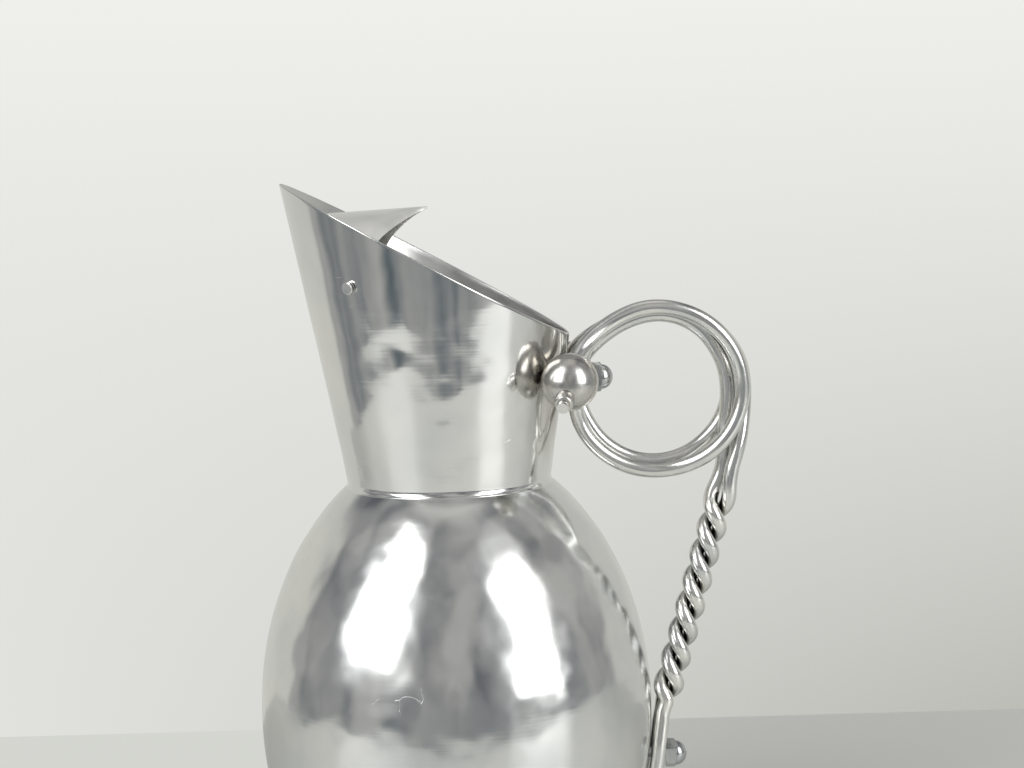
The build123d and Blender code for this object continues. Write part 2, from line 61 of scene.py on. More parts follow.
def grade(tree, value, start, end, low=0.0, high=1.0, smooth=False):
    """Adds a node that goes from low at one value to high at another, and gives its output."""
    return add_node(
        tree, "ShaderNodeMapRange",
        {"Value": value, "From Min": start, "From Max": end, "To Min": low, "To Max": high},
        interpolation_type="SMOOTHSTEP" if smooth else "LINEAR",
    ).outputs["Result"]


def cloudy(tree, place, scale, detail, output="Fac"):
    """Adds a noise texture over a place, and gives its output."""
    return add_node(
        tree, "ShaderNodeTexNoise", {"Vector": place, "Scale": scale, "Detail": detail}
    ).outputs[output]


def node_input(tree, name, kind):
    """Adds a named input to a geometry tree."""
    tree.interface.new_socket(name=name, in_out="INPUT", socket_type="NodeSocket" + kind)


def turned_tree():
    """Geometry nodes that turn a profile about Z, dent it, cut flats, and set a copy on each seat."""
    tree = bpy.data.node_groups.new("turned_on_seats", "GeometryNodeTree")
    node_input(tree, "Profile", "Geometry")
    tree.interface.new_socket(name="Pieces", in_out="OUTPUT", socket_type="NodeSocketGeometry")
    for name, kind in (
        ("Seats", "Object"), ("Sides", "Int"), ("Across Flats", "Float"), ("Dent Size", "Float"),
        ("Dent Depth", "Float"), ("Dents From", "Float"), ("Dents To", "Float"),
        ("Crease Angle", "Float"), ("Metal", "Material"),
    ):
        node_input(tree, name, kind)
    given = tree.nodes.new("NodeGroupInput").outputs

    # The skin: one column of the grid for each side, one row for each point of the profile
    points = add_node(
        tree, "GeometryNodeAttributeDomainSize", {"Geometry": given["Profile"]}
    ).outputs["Point Count"]
    grid = add_node(
        tree, "GeometryNodeMeshGrid",
        {
            "Size X": 1.0, "Size Y": 1.0,
            "Vertices X": calculate(tree, "ADD", given["Sides"], 1.0), "Vertices Y": points,
        },
    ).outputs["Mesh"]
    place = add_node(
        tree, "ShaderNodeSeparateXYZ",
        {0: add_node(tree, "GeometryNodeInputPosition").outputs[0]},
    ).outputs
    angle = calculate(tree, "MULTIPLY", calculate(tree, "ADD", place["X"], 0.5), 2 * pi)
    row = calculate(
        tree, "MULTIPLY", calculate(tree, "ADD", place["Y"], 0.5),
        calculate(tree, "SUBTRACT", points, 1.0),
    )
    profile_point = add_node(
        tree, "GeometryNodeSampleIndex",
        {
            "Geometry": given["Profile"],
            "Value": add_node(tree, "GeometryNodeInputPosition").outputs[0],
            "Index": calculate(tree, "ROUND", row),
        },
        data_type="FLOAT_VECTOR",
    ).outputs["Value"]
    profile_place = add_node(tree, "ShaderNodeSeparateXYZ", {0: profile_point}).outputs
    facet_turn = calculate(
        tree, "SUBTRACT", calculate(tree, "MODULO", angle, pi / 3), pi / 6
    )
    flat_radius = calculate(
        tree, "DIVIDE", calculate(tree, "MULTIPLY", given["Across Flats"], 0.5),
        calculate(tree, "COSINE", facet_turn),
    )
    radius = calculate(tree, "MINIMUM", profile_place["X"], flat_radius)
    spot = add_node(
        tree, "ShaderNodeCombineXYZ",
        {
            "X": calculate(tree, "MULTIPLY", radius, calculate(tree, "COSINE", angle)),
            "Y": calculate(tree, "MULTIPLY", radius, calculate(tree, "SINE", angle)),
            "Z": profile_place["Z"],
        },
    ).outputs[0]
    skin = add_node(tree, "GeometryNodeSetPosition", {"Geometry": grid, "Position": spot}).outputs[0]
    skin = add_node(
        tree, "GeometryNodeMergeByDistance", {"Geometry": skin, "Distance": 0.000001}
    ).outputs[0]

    # Dents, pressed inward only and fading out towards both ends
    spot = add_node(tree, "GeometryNodeInputPosition").outputs[0]
    height = add_node(tree, "ShaderNodeSeparateXYZ", {0: spot}).outputs["Z"]
    fade = 0.012
    fade_in = grade(
        tree, height, given["Dents From"], calculate(tree, "ADD", given["Dents From"], fade), smooth=True
    )
    fade_out = grade(
        tree, height, given["Dents To"], calculate(tree, "SUBTRACT", given["Dents To"], fade), smooth=True
    )
    blows = add_node(
        tree, "ShaderNodeTexNoise",
        {
            "Vector": spot, "Scale": calculate(tree, "DIVIDE", 1.0, given["Dent Size"]),
            "Detail": 1.0, "Roughness": 0.35,
        },
    ).outputs["Fac"]
    depth = calculate(
        tree, "MULTIPLY", calculate(tree, "MULTIPLY", blows, given["Dent Depth"]),
        calculate(tree, "MULTIPLY", fade_in, fade_out),
    )
    pressed = add_node(
        tree, "ShaderNodeVectorMath",
        {
            0: add_node(tree, "GeometryNodeInputNormal").outputs[0],
            "Scale": calculate(tree, "MULTIPLY", depth, -1.0),
        },
        operation="SCALE",
    ).outputs[0]
    skin = add_node(tree, "GeometryNodeSetPosition", {"Geometry": skin, "Offset": pressed}).outputs[0]

    # Smooth skin with crisp edges, a copy of it on each seat, turned the way the seat faces
    skin = add_node(tree, "GeometryNodeSetShadeSmooth", {"Geometry": skin}).outputs[0]
    bend = add_node(tree, "GeometryNodeInputMeshEdgeAngle").outputs[0]
    creased = add_node(
        tree, "FunctionNodeCompare", {0: bend, 1: given["Crease Angle"]}, operation="GREATER_THAN"
    ).outputs[0]
    skin = add_node(
        tree, "GeometryNodeSetShadeSmooth",
        {"Geometry": skin, "Selection": creased, "Shade Smooth": False}, domain="EDGE",
    ).outputs[0]
    seats = add_node(tree, "GeometryNodeObjectInfo", {"Object": given["Seats"]}).outputs["Geometry"]
    facing = add_node(
        tree, "GeometryNodeInputNamedAttribute", {"Name": "facing"}, data_type="FLOAT_VECTOR"
    ).outputs[0]
    copies = add_node(
        tree, "GeometryNodeInstanceOnPoints",
        {
            "Points": seats, "Instance": skin,
            "Rotation": add_node(
                tree, "FunctionNodeAlignRotationToVector", {"Vector": facing}, axis="Z"
            ).outputs[0],
        },
    ).outputs[0]
    whole = add_node(tree, "GeometryNodeRealizeInstances", {"Geometry": copies}).outputs[0]
    whole = add_node(
        tree, "GeometryNodeSetMaterial", {"Geometry": whole, "Material": given["Metal"]}
    ).outputs[0]
    add_node(tree, "NodeGroupOutput", {0: whole})
    return tree


turning = turned_tree()


def turn_piece(name, profile, metal, seats=((0, 0, 0, 0, 0, 1),), **sizes):
    """Turns a profile of (radius, height) points, and sets a copy on each seat of (place, facing)."""
    line = bpy.data.meshes.new(name)
    line.from_pydata([(r, 0, z) for r, z in profile], [(k, k + 1) for k in range(len(profile) - 1)], [])
    piece = bpy.data.objects.new(name, line)
    bpy.context.collection.objects.link(piece)
    seat_points = bpy.data.meshes.new(name + "_seats")
    seat_points.from_pydata([seat[:3] for seat in seats], [], [])
    facing = seat_points.attributes.new("facing", "FLOAT_VECTOR", "POINT")
    for k, seat in enumerate(seats):
        facing.data[k].vector = seat[3:]
    seat_holder = bpy.data.objects.new(name + "_seats", seat_points)
    bpy.context.collection.objects.link(seat_holder)
    values = {
        "Seats": seat_holder, "Sides": 48, "Across Flats": 1.0, "Dent Size": 0.02,
        "Dent Depth": 0.0, "Dents From": 0.0, "Dents To": 1.0, "Crease Angle": radians(35),
        "Metal": metal,
    }
    values.update(sizes)
    modifier = piece.modifiers.new("turned", "NODES")
    modifier.node_group = turning
    for socket in turning.interface.items_tree:
        if socket.in_out == "INPUT" and socket.name in values:
            modifier[socket.identifier] = values[socket.name]
    bpy.context.view_layer.update()
    finished = bpy.data.meshes.new_from_object(
        piece.evaluated_get(bpy.context.evaluated_depsgraph_get())
    )
    piece.modifiers.remove(modifier)
    piece.data = finished
    bpy.data.objects.remove(seat_holder)
    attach(piece, "pitcher")
    return piece


def worked_metal(name, color, roughness, lines_along=(1, 1, 1), lines_depth=0.0, wave_depth=0.0,
                 scratches=0.0, stains=0.08, stain_scale=24.0):
    """Polished metal with cloudy tints, uneven polish, fine polishing lines, pits and hairlines."""
    material = bpy.data.materials.new(name)
    material.use_nodes = True
    tree = material.node_tree
    shader = tree.nodes["Principled BSDF"]
    shader.inputs["Metallic"].default_value = 1.0
    place = add_node(tree, "ShaderNodeTexCoord").outputs["Object"]

    # Cloudy tint, here and there a little darker and cooler
    tint = add_node(tree, "ShaderNodeValToRGB", {"Fac": cloudy(tree, place, stain_scale, 4.0)})
    tint.color_ramp.elements[0].position = 0.32
    tint.color_ramp.elements[0].color = (
        color[0] * (1 - stains), color[1] * (1 - 0.9 * stains), color[2] * (1 - 0.75 * stains), 1
    )
    tint.color_ramp.elements[1].position = 0.68
    tint.color_ramp.elements[1].color = (*color, 1)
    tree.links.new(tint.outputs["Color"], shader.inputs["Base Color"])

    # Uneven polish: smears of a few millimetres over broader patches
    polish = grade(tree, cloudy(tree, place, 90.0, 5.0), 0.3, 0.7, roughness * 0.8, roughness * 1.25)

    # Fine lines left by the polishing wheel, and a faint ripple
    along = add_node(tree, "ShaderNodeMapping", {"Vector": place, "Scale": lines_along}).outputs[0]
    brushed = add_node(
        tree, "ShaderNodeBump", {"Height": cloudy(tree, along, 900.0, 3.0), "Distance": lines_depth}
    ).outputs["Normal"]
    rippled = add_node(
        tree, "ShaderNodeBump",
        {"Height": cloudy(tree, place, 110.0, 1.0), "Distance": wave_depth, "Normal": brushed},
    ).outputs["Normal"]

    # A few hairline scratches, bent and broken off, and pits in small groups
    swayed = add_node(
        tree, "ShaderNodeVectorMath",
        {0: cloudy(tree, place, 60.0, 2.0, "Color"), 1: (0.02, 0.02, 0.02), 2: place},
        operation="MULTIPLY_ADD",
    ).outputs[0]
    cells = add_node(
        tree, "ShaderNodeTexVoronoi", {"Vector": swayed, "Scale": 38.0}, feature="DISTANCE_TO_EDGE"
    ).outputs["Distance"]
    hairlines = calculate(
        tree, "MULTIPLY", grade(tree, cells, 0.005, 0.002),
        grade(tree, cloudy(tree, place, 34.0, 2.0), 0.67, 0.70),
    )
    spots = add_node(
        tree, "ShaderNodeTexVoronoi", {"Vector": place, "Scale": 520.0}
    ).outputs["Distance"]
    pits = calculate(
        tree, "MULTIPLY", grade(tree, spots, 0.13, 0.07),
        grade(tree, cloudy(tree, place, 28.0, 3.0), 0.63, 0.69),
    )
    marks = calculate(tree, "MAXIMUM", hairlines, pits)
    marked = add_node(
        tree, "ShaderNodeBump",
        {"Height": marks, "Distance": 0.00004 * scratches, "Normal": rippled}, invert=True,
    ).outputs["Normal"]
    tree.links.new(marked, shader.inputs["Normal"])
    dull = calculate(tree, "MULTIPLY_ADD", marks, 0.12 * scratches, polish)
    tree.links.new(dull, shader.inputs["Roughness"])
    return material


body_radius = 0.084
body_half_height = 0.1141
base_radius = 0.047
base_corner = 0.004
body_wall = 0.0015
mouth_radius = 0.0407
body_centre = body_half_height * sqrt(1 - (base_radius / body_radius) ** 2)


def egg_arc(radius, half_height, first_z, steps):
    """Points of the egg's flank, from one height up to where it meets the mouth."""
    first = asin((first_z - body_centre) / half_height)
    last = pi / 2 - asin(mouth_radius / radius)
    spots = [first + (last - first) * k / steps for k in range(steps + 1)]
    return [(radius * cos(a), body_centre + half_height * sin(a)) for a in spots]


corner_turn = pi / 2 - atan2(
    base_radius / body_radius**2, body_centre / body_half_height**2
)
corner_middle = base_radius - base_corner * tan(corner_turn / 2)
corner_steps = 5
profile = [(0.0, 0.0)] + [(corner_middle * k / 8, 0.0) for k in range(1, 8)]
for k in range(corner_steps + 1):
    turned = corner_turn * k / corner_steps
    profile.append((corner_middle + base_corner * sin(turned), base_corner * (1 - cos(turned))))
profile += egg_arc(body_radius, body_half_height, profile[-1][1] + 0.0008, 150)
inside = egg_arc(body_radius - body_wall, body_half_height - body_wall, body_wall, 60)
profile += inside[::-1]
profile += [(inside[0][0] * k / 6, body_wall) for k in range(5, -1, -1)]

body_metal = worked_metal(
    "hammered_aluminium", (0.81, 0.808, 0.783), 0.165, (0.04, 0.04, 1), 0.00001, 0.00002, 1.0, 0.18
)
body_shell = turn_piece(
    "raised_body", profile, body_metal, Sides=320,
    **{
        "Dent Size": 0.012, "Dent Depth": 0.0006, "Dents From": 0.002, "Dents To": 0.190,
        "Crease Angle": radians(60),
    },
)
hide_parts("body_shell")

# Neck: a cone of aluminium sheet that leans a little back, welded on the body with the weld
# dressed to a hollow, and cut on a slant at the rim, whose cut edge is smoothed. The cone is
# uneven from its hammering, and is drawn here round by round. Its inside was only brushed. The
# outside is darkened behind the handle with painted shade and a painted reflection of the handle.
foot_radius = 0.0431
neck_wall = 0.0012
neck_flare = tan(radians(10.05))
neck_lean = radians(0.62)
rim_height = 0.2835
rim_slope = tan(radians(28.87))
seam_height = body_centre + body_half_height * sqrt(1 - (foot_radius / body_radius) ** 2)
weld_reach = 0.0018
neck_rounds = 320
broad_blow, broad_depth = 0.015, 0.0003
small_blow, small_depth = 0.007, 0.00008
first_blow, blow_fade = 0.004, 0.012
lid_underside = 0.268


def on_neck(angle, radius, along):
    """Point at an angle round the neck's leaning axis, at a radius and a height from its foot."""
    x = radius * cos(angle)
    return Vector((
        x * cos(neck_lean) - along * sin(neck_lean),
        radius * sin(angle),
        seam_height + x * sin(neck_lean) + along * cos(neck_lean),
    ))


def rim_along(angle, inset):
    """How far along the neck the slanted cut lies, on the cone that is inset from the outside."""
    tilt = sin(neck_lean) + rim_slope * cos(neck_lean)
    reach = rim_height - seam_height - (foot_radius - inset) * cos(angle) * tilt
    return reach / (cos(neck_lean) - rim_slope * sin(neck_lean) + neck_flare * cos(angle) * tilt)


def neck_dent(angle, along):
    """Depth of the hammering at a place of the neck's sheet."""
    spot = on_neck(angle, foot_radius + neck_flare * along, along)
    broad = 0.5 + 0.5 * noise.noise(spot / broad_blow)
    small = 0.5 + 0.5 * noise.noise(spot / small_blow + Vector((5, 0, 0)))
    started = min(1.0, max(0.0, (along - first_blow) / blow_fade))
    clear_of_lid = min(1.0, max(0.0, (lid_underside - spot.z) / blow_fade))
    return (broad_depth * broad + small_depth * small) * started * (1 + 0.8 * clear_of_lid)


def on_vectors(tree, operation, *values):
    """Adds a vector math node on places or sockets, and gives its output."""
    node = add_node(tree, "ShaderNodeVectorMath", enumerate(values), operation=operation)
    return node.outputs["Value" if operation in ("DISTANCE", "LENGTH") else "Vector"]


def mix_colors(tree, share, first, second):
    """Adds a mix of two colours, or sockets, and gives its output."""
    return add_node(
        tree, "ShaderNodeMix", {"Factor": share, 6: first, 7: second}, data_type="RGBA"
    ).outputs[2]


def paint_shade(metal, share, color):
    """Lays painted shade of a colour on a metal, by the share that a socket gives."""
    tree = metal.node_tree
    base = tree.nodes["Principled BSDF"].inputs["Base Color"]
    tree.links.new(mix_colors(tree, share, base.links[0].from_socket, color), base)


body_fall = body_radius / body_half_height * (seam_height - body_centre) / sqrt(
    body_half_height**2 - (seam_height - body_centre) ** 2
)
fall_length = sqrt(1 + body_fall**2)
foot_lift = foot_radius * sin(neck_lean) * body_fall / (body_fall + neck_flare)
inner_drop = 0.001
weld_steps, flank_steps, lip_steps, inner_steps = 8, 120, 6, 44
rounds = []
for k in range(neck_rounds):
    angle = 2 * pi * k / neck_rounds
    foot = -foot_lift * cos(angle)
    rows = []
    for step in range(weld_steps):
        share = step / weld_steps
        down = weld_reach * (1 - share) ** 2
        up = weld_reach * share**2
        rows.append((
            foot_radius + neck_flare * (foot + up) + down * body_fall / fall_length,
            foot + up - down / fall_length,
        ))
    rim = rim_along(angle, 0)
    for step in range(flank_steps):
        along = foot + weld_reach + (rim - neck_wall / 2 - foot - weld_reach) * step / flank_steps
        rows.append((foot_radius + neck_flare * along - neck_dent(angle, along), along))
    for step in range(lip_steps + 1):
        turned = pi * step / lip_steps
        inset = neck_wall / 2 * (1 - cos(turned))
        along = rim_along(angle, inset) - neck_wall / 2 * (1 - sin(turned))
        rows.append((foot_radius + neck_flare * along - neck_dent(angle, along) - inset, along))
    inner_rim = rim_along(angle, neck_wall) - neck_wall / 2
    inner_foot = foot - inner_drop
    for step in range(1, inner_steps + 1):
        along = inner_rim + (inner_foot - inner_rim) * step / inner_steps
        rows.append(
            (foot_radius + neck_flare * along - neck_dent(angle, along) - neck_wall, along)
        )
    rounds.append([on_neck(angle, radius, along) for radius, along in rows])

row_count = len(rounds[0])
neck_points = [point for column in rounds for point in column]
neck_faces = []
for k in range(neck_rounds):
    for row in range(row_count):
        here, after = k * row_count, (k + 1) % neck_rounds * row_count
        above = (row + 1) % row_count
        neck_faces.append((here + row, after + row, after + above, here + above))
neck_mesh = bpy.data.meshes.new("neck")
neck_mesh.from_pydata(neck_points, [], neck_faces)
neck_metal = worked_metal(
    "planished_aluminium", (0.83, 0.825, 0.80), 0.11, (0.04, 0.04, 1), 0.000008, 0.00001, 0.8, 0.14
)
# Painted shade and painted reflection: darker, browner upright streaks on the outside near where the
# handle meets the neck
behind_handle = (0.054, 0, 0.246)
neck_tree = neck_metal.node_tree
neck_place = add_node(neck_tree, "ShaderNodeTexCoord").outputs["Object"]
drawn_out = add_node(
    neck_tree, "ShaderNodeMapping", {"Vector": neck_place, "Scale": (1, 1, 0.3)}
).outputs[0]
handle_shade_reach = calculate(
    neck_tree, "MULTIPLY_ADD", cloudy(neck_tree, drawn_out, 170.0, 3.0), 0.028,
    on_vectors(neck_tree, "DISTANCE", neck_place, behind_handle),
)
paint_shade(
    neck_metal, grade(neck_tree, handle_shade_reach, 0.068, 0.042, high=0.5, smooth=True), (0.30, 0.27, 0.23, 1)
)
neck_mesh.materials.append(neck_metal)
inner_metal = worked_metal(
    "brushed_inside", (0.66, 0.655, 0.635), 0.34, (1, 1, 0.04), 0.00002, 0.00002, 0.1, 0.12
)
neck_mesh.materials.append(inner_metal)
first_inner_row = weld_steps + flank_steps + 1
for number, face in enumerate(neck_mesh.polygons):
    face.material_index = int(number % row_count >= first_inner_row)
neck_mesh.shade_smooth()
neck = bpy.data.objects.new("slanted_neck", neck_mesh)
bpy.context.collection.objects.link(neck)
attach(neck, "pitcher")
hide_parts("neck_collar")

# Lid: a hood of thin aluminium sheet, arched over the spout and tapering to a raised tail that
# the thumb presses. It is satin rather than bright, and swings on the two rivets.


def dress(metal, *names):
    """Gives a metal to pieces that keep the shape that they have in the frame."""
    for name in names:
        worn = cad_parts[name].data
        worn.materials.clear()
        worn.materials.append(metal)


lid_metal = worked_metal(
    "satin_lid", (0.88, 0.87, 0.83), 0.42, (0.2, 1, 1), 0.000004, 0.00002, 0.5
)
lid_metal.node_tree.nodes["Principled BSDF"].inputs["Metallic"].default_value = 0.65
dress(lid_metal, "spout_lid")

# Rivets of the lid: aluminium pins through the neck's sheet, each with a small flat head over a
# washer outside and a spacer inside. The heads were set with a punch, which left them uneven.
rivet_metal = worked_metal(
    "set_rivets", (0.84, 0.835, 0.81), 0.32, (1, 1, 1), 0.00001, 0.00006, 1.0, 0.25, 300.0
)
dress(rivet_metal, "hinge_rivet_near", "hinge_rivet_far", "hinge_washers", "hinge_spacers")

# Handle: two quarter-inch aluminium rods, twisted together, wound twice round in a ring and led
# past the neck to a ball each. Their polish is softer than the sheet's and runs along them, and
# painted shade darkens them where they meet, along the middle of the twist and of the ring.
rod_metal = worked_metal(
    "polished_rod", (0.85, 0.84, 0.80), 0.21, (1, 1, 0.3), 0.000008, 0.00003, 0.7, 0.2, 60.0
)
# Painted shade: darker in the creases along the middle of the twist and where the strands of the ring
# meet
twist_foot, twist_way, twist_top = (0.0899, 0, 0.0955), (0.0245, 0, 0.0841), 0.184
ring_centre, ring_radius = (0.0881, 0, 0.2295), 0.0332
rod_tree = rod_metal.node_tree
rod_place = add_node(rod_tree, "ShaderNodeTexCoord").outputs["Object"]
rod_axes = add_node(rod_tree, "ShaderNodeSeparateXYZ", {0: rod_place}).outputs
from_foot = on_vectors(rod_tree, "SUBTRACT", rod_place, twist_foot)
along_twist = on_vectors(rod_tree, "PROJECT", from_foot, twist_way)
off_twist = calculate(
    rod_tree, "ADD", on_vectors(rod_tree, "DISTANCE", from_foot, along_twist),
    calculate(rod_tree, "GREATER_THAN", rod_axes["Z"], twist_top),
)
in_ring_plane = on_vectors(
    rod_tree, "MULTIPLY", on_vectors(rod_tree, "SUBTRACT", rod_place, ring_centre), (1, 0, 1)
)
off_radius = calculate(
    rod_tree, "SUBTRACT", on_vectors(rod_tree, "LENGTH", in_ring_plane), ring_radius
)
off_ring = calculate(
    rod_tree, "SQRT",
    calculate(
        rod_tree, "ADD", calculate(rod_tree, "MULTIPLY", off_radius, off_radius),
        calculate(rod_tree, "MULTIPLY", rod_axes["Y"], rod_axes["Y"]),
    ),
)
crease_shade = calculate(
    rod_tree, "MAXIMUM", grade(rod_tree, off_twist, 0.0044, 0.0025),
    grade(rod_tree, off_ring, 0.0018, 0.0006, high=0.35),
)
paint_shade(rod_metal, calculate(rod_tree, "MULTIPLY", crease_shade, 0.82), (0.06, 0.055, 0.048, 1))
dress(rod_metal, "handle_strand_near", "handle_strand_far", "upper_saddle")

# Balls on the rod ends: each is pressed from sheet in two hollow halves, closed on the stud by a
# round nut below. Handling has left them satin and blotchy.
ball_metal = worked_metal(
    "satin_ball", (0.72, 0.69, 0.635), 0.27, (1, 1, 0.15), 0.00001, 0.00006, 1.4, 0.28, 120.0
)
dress(ball_metal, "ball_near_upper", "ball_near_lower", "ball_far_upper", "ball_far_lower")
ball_x, ball_y, ball_z = 0.0514, 0.03569, 0.2364
ball_down, ball_turn = radians(30.0), radians(13.0)
ball_level = 0.01133
ball_nut_foot, ball_nut_height = 0.0003, 0.0046
ball_nut_radius, ball_nut_bore, ball_nut_rim = 0.0039, 0.00255, 0.0011
ball_seats = []
for side in (-1, 1):
    stud_way = Vector((
        -cos(ball_down) * sin(ball_turn), side * cos(ball_down) * cos(ball_turn), -sin(ball_down)
    ))
    middle = Vector((ball_x, side * ball_y, ball_z))
    ball_seats.append((*(middle + stud_way * ball_level), *stud_way))
profile = [(ball_nut_bore, ball_nut_foot), (ball_nut_radius, ball_nut_foot)]
for k in range(7):
    turned = pi / 2 * k / 6
    profile.append((
        ball_nut_radius - ball_nut_rim * (1 - cos(turned)),
        ball_nut_height - ball_nut_rim * (1 - sin(turned)),
    ))
profile += [(ball_nut_bore, ball_nut_height), (ball_nut_bore, ball_nut_foot)]
ball_nut = turn_piece("round_ball_nuts", profile, ball_metal, ball_seats)
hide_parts("ball_nuts")

# Bolts and acorn nuts: bright plated steel, one through the neck and one through the body, each
# with a rubber sealing washer and a flat washer inside the pitcher.
steel = worked_metal(
    "plated_steel", (0.56, 0.565, 0.555), 0.2, (1, 1, 1), 0.000004, 0.00002, 0.8, 0.25, 150.0
)
dress(steel, "upper_bolt", "upper_washer", "upper_nut_washer", "lower_bolt", "lower_washer")
nut_flats = 0.0109
nut_corner = nut_flats / sqrt(3)
hex_height = 0.0046
dome_height, dome_radius = 0.0048, 0.0053
bore_radius, bore_depth = 0.00255, 0.0072
corner_cut = 0.0005
profile = [(0.0, bore_depth), (bore_radius, bore_depth), (bore_radius, 0.0)]
profile += [(nut_corner - corner_cut * (1 - k / 4), corner_cut * 0.6 * k / 4) for k in range(5)]
profile += [
    (nut_corner - (nut_corner - dome_radius) * k / 5, hex_height - corner_cut * (1 - k / 5))
    for k in range(6)
]
for k in range(1, 15):
    turned = pi / 2 * k / 14
    profile.append((dome_radius * cos(turned), hex_height + dome_height * sin(turned)))
profile[-1] = (0.0, hex_height + dome_height)
for name, place in (
    ("upper_acorn_nut", (0.06124, 0, 0.235)), ("lower_acorn_nut", (0.08922, 0, 0.0706)),
):
    nut = turn_piece(
        "domed_" + name, profile, steel, [(*place, 1, 0, 0)], Sides=96, **{"Across Flats": nut_flats}
    )
    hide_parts(name)

rubber = bpy.data.materials.new("seal_rubber")
rubber.use_nodes = True
rubber_tree = rubber.node_tree
rubber_shader = rubber_tree.nodes["Principled BSDF"]
rubber_shader.inputs["Roughness"].default_value = 0.65
rubber_place = add_node(rubber_tree, "ShaderNodeTexCoord").outputs["Object"]
rubber_grain = cloudy(rubber_tree, rubber_place, 700.0, 3.0)
rubber_color = add_node(rubber_tree, "ShaderNodeValToRGB", {"Fac": rubber_grain})
rubber_color.color_ramp.elements[0].color = (0.012, 0.012, 0.012, 1)
rubber_color.color_ramp.elements[1].color = (0.035, 0.034, 0.033, 1)
rubber_tree.links.new(rubber_color.outputs["Color"], rubber_shader.inputs["Base Color"])
rubber_bump = add_node(
    rubber_tree, "ShaderNodeBump", {"Height": rubber_grain, "Distance": 0.00005}
)
rubber_tree.links.new(rubber_bump.outputs["Normal"], rubber_shader.inputs["Normal"])
dress(rubber, "upper_seal", "lower_seal")

# Table: a plain pale board with a faint gloss that the pitcher stands on. Its front edge lies
# before the pitcher and its back edge behind it, where its left part fades into the wall.
table_left, table_right = -0.66, 1.25
table_front, table_back = -0.545, 0.287
corner_along, corner_back = 0.32, 0.26
table_level = -0.0002
table_mesh = bpy.data.meshes.new("table_top")
table_mesh.from_pydata(
    [
        (table_left, table_front + corner_back, table_level),
        (table_left + corner_along, table_front, table_level),
        (table_right, table_front, table_level), (table_right, table_back, table_level),
        (table_left, table_back, table_level),
    ],
    [], [(0, 1, 2, 3, 4)],
)
table_top = bpy.data.objects.new("table_top", table_mesh)
bpy.context.collection.objects.link(table_top)
board = bpy.data.materials.new("pale_board")
board.use_nodes = True
board_tree = board.node_tree
board_shader = board_tree.nodes["Principled BSDF"]
board_shader.inputs["Roughness"].default_value = 0.38
board_place = add_node(
    board_tree, "ShaderNodeSeparateXYZ",
    {0: add_node(board_tree, "ShaderNodeTexCoord").outputs["Object"]},
).outputs
board_tone = add_node(
    board_tree, "ShaderNodeValToRGB", {"Fac": grade(board_tree, board_place["Y"], -0.05, 0.12)}
)
board_tone.color_ramp.elements[0].color = (0.77, 0.775, 0.742, 1)
board_tone.color_ramp.elements[1].color = (0.62, 0.625, 0.596, 1)
board_tree.links.new(board_tone.outputs["Color"], board_shader.inputs["Base Color"])
to_left = grade(board_tree, board_place["X"], 0.05, -0.08)
to_back = grade(board_tree, board_place["Y"], 0.14, 0.19)
camera_ray = add_node(board_tree, "ShaderNodeLightPath").outputs["Is Camera Ray"]
faded = calculate(
    board_tree, "MULTIPLY", camera_ray, calculate(board_tree, "MULTIPLY", to_left, to_back)
)
wall_tone = add_node(
    board_tree, "ShaderNodeEmission", {"Color": (0.66, 0.668, 0.63, 1), "Strength": 1.0}
)
board_mix = add_node(
    board_tree, "ShaderNodeMixShader",
    {0: faded, 1: board_shader.outputs[0], 2: wall_tone.outputs[0]},
)
board_tree.links.new(board_mix.outputs[0], board_tree.nodes["Material Output"].inputs["Surface"])
table_mesh.materials.append(board)

# Light: two tall soft windows in front of the pitcher, to its left and right, with lit curtains
# beside them, in a plain room that is gloomy before the pitcher and pale behind it.
world = bpy.data.worlds.new("room")
bpy.context.scene.world = world
world.use_nodes = True
room = world.node_tree
direction = add_node(room, "ShaderNodeTexCoord").outputs["Generated"]
axes = add_node(room, "ShaderNodeSeparateXYZ", {"Vector": direction}).outputs
facing_side = calculate(room, "ARCTAN2", axes["X"], calculate(room, "MULTIPLY", axes["Y"], -1.0))
window_distance, pitcher_middle = 1.6, 0.15
glow = 0.0
for name, azimuth, low, high, spread, brightness in (
    ("window_left", -48, 10, 62, 17, 3.1),
    ("window_right", 50, 0, 48, 14, 3.7),
):
    away = Vector((sin(radians(azimuth)), -cos(radians(azimuth)), 0)) * window_distance
    bottom = pitcher_middle + window_distance * tan(radians(low))
    top = pitcher_middle + window_distance * tan(radians(high))
    lamp = bpy.data.lights.new(name, "AREA")
    lamp.shape = "RECTANGLE"
    lamp.size = 2 * window_distance * tan(radians(spread))
    lamp.size_y = top - bottom
    lamp.energy = brightness * pi * lamp.size * lamp.size_y
    holder = bpy.data.objects.new(name, lamp)
    holder.location = away + Vector((0, 0, (bottom + top) / 2))
    holder.rotation_euler = (-away).to_track_quat("-Z", "Y").to_euler()
    bpy.context.collection.objects.link(holder)
    aside = calculate(
        room, "ABSOLUTE", calculate(room, "SUBTRACT", facing_side, radians(azimuth))
    )
    beside = grade(room, aside, radians(spread + 11), radians(spread - 2), smooth=True)
    glow = calculate(room, "ADD", glow, beside)

# The wall behind the table, as the camera sees it, with painted shade that darkens it low down and
# towards the right
shade = add_node(room, "ShaderNodeValToRGB")
shade.color_ramp.elements[0].position = 0.0
shade.color_ramp.elements[0].color = (0.425, 0.43, 0.395, 1)
shade.color_ramp.elements[1].position = 1.0
shade.color_ramp.elements[1].color = (0.86, 0.865, 0.83, 1)
height = grade(room, axes["Z"], -0.3, 0.12, low=0.42)
lowered = calculate(room, "POWER", calculate(room, "SUBTRACT", 1.0, height), 2.0)
sideways = calculate(room, "MULTIPLY", axes["X"], lowered)
room.links.new(calculate(room, "MULTIPLY_ADD", sideways, -3.4, height), shade.inputs["Fac"])

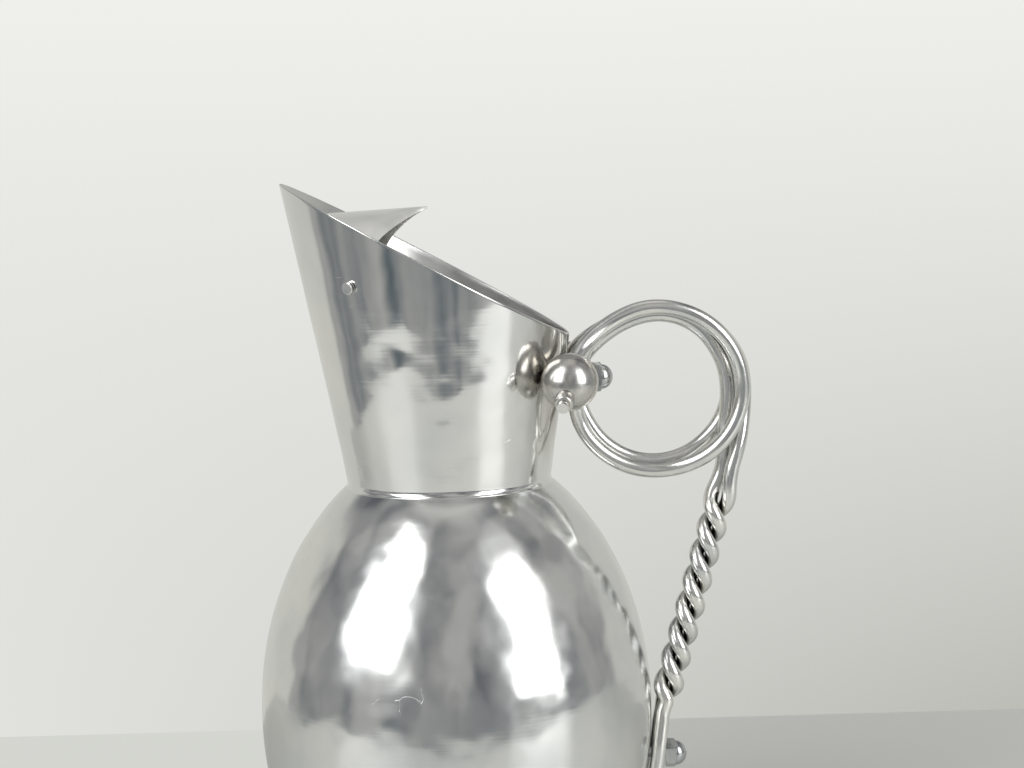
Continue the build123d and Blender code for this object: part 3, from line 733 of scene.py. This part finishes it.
# The room as the metal reflects it: upright bands of gloom in front, a dusky floor, the lit
# curtains, a pale ceiling right overhead, and a pale wall behind
bands = add_node(room, "ShaderNodeMapping", {"Vector": direction, "Scale": (1.0, 1.0, 0.35)}).outputs[0]
clouds = cloudy(room, bands, 3.6, 3.0)
gloom = add_node(room, "ShaderNodeValToRGB", {"Fac": clouds})
gloom.color_ramp.elements[0].position = 0.36
gloom.color_ramp.elements[0].color = (0.09, 0.10, 0.12, 1)
gloom.color_ramp.elements[1].position = 0.64
gloom.color_ramp.elements[1].color = (0.48, 0.475, 0.465, 1)
dusk = add_node(room, "ShaderNodeValToRGB", {"Fac": clouds})
dusk.color_ramp.elements[0].position = 0.34
dusk.color_ramp.elements[0].color = (0.10, 0.125, 0.145, 1)
dusk.color_ramp.elements[1].position = 0.66
dusk.color_ramp.elements[1].color = (0.42, 0.42, 0.41, 1)
lit_height = calculate(
    room, "MULTIPLY", grade(room, axes["Z"], -0.05, 0.2), grade(room, axes["Z"], 0.97, 0.75)
)
lit = calculate(room, "MULTIPLY", calculate(room, "MULTIPLY", glow, lit_height), 0.8)
curtains = mix_colors(room, lit, gloom.outputs["Color"], (0.92, 0.93, 0.92, 1))
floorward = mix_colors(room, grade(room, axes["Z"], 0.0, -0.1), curtains, dusk.outputs["Color"])
overhead = mix_colors(room, grade(room, axes["Z"], 0.92, 0.99), floorward, (0.72, 0.71, 0.68, 1))
wall_behind = calculate(
    room, "MULTIPLY", grade(room, axes["Y"], 0.28, 0.36), grade(room, axes["Z"], 0.55, 0.45)
)
reflected = mix_colors(room, wall_behind, overhead, (0.64, 0.64, 0.605, 1))
to_camera = add_node(room, "ShaderNodeLightPath").outputs["Is Camera Ray"]
seen = mix_colors(room, to_camera, reflected, shade.outputs["Color"])
room.links.new(seen, room.nodes["Background"].inputs["Color"])

# Camera: at the photograph's place and angle, with its lens and its slight roll
photo_width, focal_pixels, sensor_width = 1024.0, 1700.0, 36.0
camera_place = (0.03454, -0.71932, 0.30039)
camera_heading, camera_down, camera_roll = 0.0094, 0.0935, -0.0304
camera = bpy.data.cameras.new("camera")
camera.sensor_width = sensor_width
camera.lens = focal_pixels * sensor_width / photo_width
view = bpy.data.objects.new("camera", camera)
bpy.context.collection.objects.link(view)
turn = (
    Matrix.Rotation(camera_heading, 3, "Z") @ Matrix.Rotation(radians(90) - camera_down, 3, "X")
    @ Matrix.Rotation(camera_roll, 3, "Z")
)
view.matrix_world = Matrix.Translation(camera_place) @ turn.to_4x4()
bpy.context.scene.camera = view
bpy.context.scene.view_settings.view_transform = "Standard"
